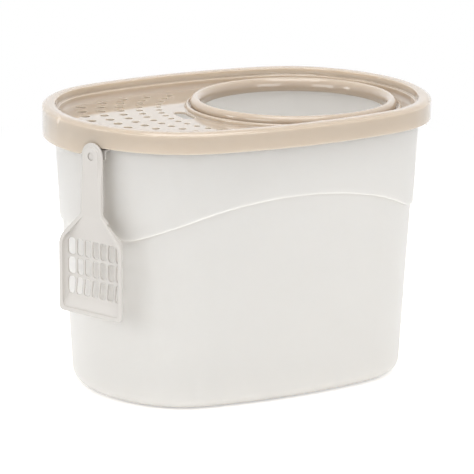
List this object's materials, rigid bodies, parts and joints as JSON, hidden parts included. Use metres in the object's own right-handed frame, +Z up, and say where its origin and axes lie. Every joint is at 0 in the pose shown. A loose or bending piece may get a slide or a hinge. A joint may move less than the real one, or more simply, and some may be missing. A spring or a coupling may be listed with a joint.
{
  "type": "top entry litter box",
  "caption": "Deep oval litter tub with a lift-off lid that has a round collared entry, drain holes and a slot for spilt litter, and a slotted scoop hanging on a clip.",
  "frame": {"origin": "on the floor below the middle of the whole box, its hanging scoop included", "axes": "+X along the length towards the round entry, +Y towards the back, +Z up; the scoop hangs at the front of the -X end"},
  "size_m": [0.534, 0.3858, 0.37],
  "materials": {
    "tub_plastic": "satin",
    "lid_plastic": "gloss",
    "scoop_plastic": "satin",
    "rubber": "matte"
  },
  "bodies": {
    "box": {"tub": "tub_plastic", "scoop_hook": "scoop_plastic", "rubber_foot_front_left": "rubber", "rubber_foot_front_right": "rubber", "rubber_foot_rear_left": "rubber", "rubber_foot_rear_right": "rubber"},
    "lid": {"lid": "lid_plastic"},
    "scoop": {"scoop": "scoop_plastic"}
  },
  "joints": [
    {"name": "lid_lift", "type": "slide", "parent": "box", "child": "lid", "axis": [0, 0, 1], "range_m": [0, 0.15]},
    {"name": "scoop_swing", "type": "hinge", "parent": "box", "child": "scoop", "pos_m": [-0.23682, -0.06978, 0.3315], "axis": [-0.9409, -0.3387, 0], "range_deg": [-90, 90]}
  ]
}
